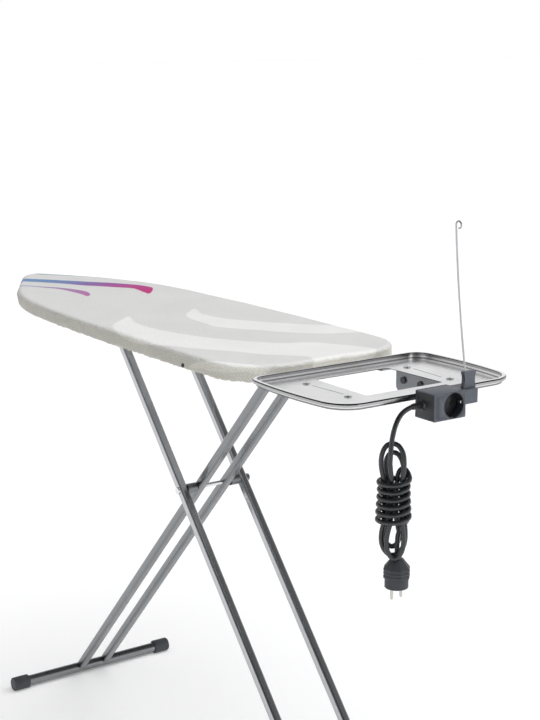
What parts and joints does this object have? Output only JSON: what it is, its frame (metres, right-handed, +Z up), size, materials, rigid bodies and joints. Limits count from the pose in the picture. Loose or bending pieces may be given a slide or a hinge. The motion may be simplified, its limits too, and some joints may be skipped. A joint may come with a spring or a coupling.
{
  "type": "ironing board",
  "caption": "Folding ironing board on crossed tube legs, with a fabric cover, a metal iron rest, a mains socket with its hanked lead and a wire cable rod.",
  "frame": {"origin": "on the floor, midway along and across the standing board, without its lead", "axes": "+X from the nose to the iron rest, +Z up"},
  "size_m": [1.4509, 0.404, 1.1644],
  "materials": {
    "cover_fabric": "woven",
    "pad_foam": "felt",
    "painted_steel": "satin",
    "zinc_steel": "zinc plated",
    "stainless_sheet": "satin",
    "dark_plastic": "moulded",
    "socket_plastic": "moulded",
    "insert_plastic": "moulded",
    "spring_steel": "bright",
    "brass": "plain",
    "lead_rubber": "matt",
    "rod_wire": "satin",
    "plug_plastic": "moulded",
    "plated_pins": "bright",
    "foot_plastic": "moulded",
    "leg_tube": "satin"
  },
  "bodies": {
    "board": {"ironing_panel": "painted_steel", "board_rim": "painted_steel", "pad": "pad_foam", "cover": "cover_fabric", "front_cross_brace": "painted_steel", "rear_cross_brace": "painted_steel", "height_rack": "zinc_steel", "hinge_bracket": "zinc_steel", "hinge_pin": "zinc_steel", "lever_bracket": "zinc_steel", "lever_pin": "zinc_steel", "lever_spring": "zinc_steel", "slide_rail_left": "zinc_steel", "slide_rail_right": "zinc_steel", "tray": "stainless_sheet", "tray_rivets": "stainless_sheet", "arm_bolts": "zinc_steel", "tray_arm_left": "zinc_steel", "tray_arm_right": "zinc_steel", "arm_block_left": "dark_plastic", "arm_block_right": "dark_plastic", "tray_bracket_left": "zinc_steel", "tray_bracket_right": "zinc_steel", "bracket_buffers": "dark_plastic", "socket_housing": "socket_plastic", "socket_back": "socket_plastic", "socket_insert": "insert_plastic", "earth_contacts": "spring_steel", "pin_contacts": "brass", "cable_gland": "lead_rubber", "rim_hook": "spring_steel", "rod_holder": "socket_plastic", "rod_clip": "socket_plastic", "lead": "lead_rubber", "lead_hank": "lead_rubber", "plug_body": "plug_plastic", "plug_pins": "plated_pins"},
    "inner_legs": {"inner_leg_left": "leg_tube", "inner_leg_right": "leg_tube", "hinge_tube": "leg_tube", "inner_foot_bar": "leg_tube", "inner_foot_cap_left": "foot_plastic", "inner_foot_cap_right": "foot_plastic"},
    "outer_legs": {"outer_leg_left": "leg_tube", "outer_leg_right": "leg_tube", "slide_bar": "leg_tube", "outer_foot_bar": "leg_tube", "outer_foot_cap_left": "foot_plastic", "outer_foot_cap_right": "foot_plastic", "pivot_rod": "zinc_steel", "pivot_nut": "zinc_steel", "pivot_spacer_left": "zinc_steel", "pivot_spacer_right": "zinc_steel"},
    "lever": {"release_lever": "zinc_steel", "lever_grip": "dark_plastic"},
    "cable_rod": {"cable_rod": "rod_wire"}
  },
  "joints": [
    {"name": "leg_fold", "type": "hinge", "parent": "board", "child": "inner_legs", "pos_m": [0.28525, 0, 0.851], "axis": [0, 1, 0], "range_deg": [0, 45.5]},
    {"name": "leg_cross", "type": "hinge", "parent": "inner_legs", "child": "outer_legs", "pos_m": [0.03356, 0, 0.577], "axis": [0, 1, 0], "range_deg": [-92.84, 0]},
    {"name": "lever_lift", "type": "hinge", "parent": "board", "child": "lever", "pos_m": [-0.2527, -0.107, 0.858], "axis": [0, -1, 0], "range_deg": [0, 7], "stiffness_Nm_per_rad": 0.8, "springref_deg": -11.46},
    {"name": "rod_sway", "type": "hinge", "parent": "board", "child": "cable_rod", "pos_m": [0.71125, 0.0365, 0.9248], "axis": [0, 1, 0], "range_deg": [-25, 25], "stiffness_Nm_per_rad": 0.6}
  ],
  "couplings": [
    {"joint": "leg_cross", "follows": "leg_fold", "ratio": -2.0384}
  ]
}
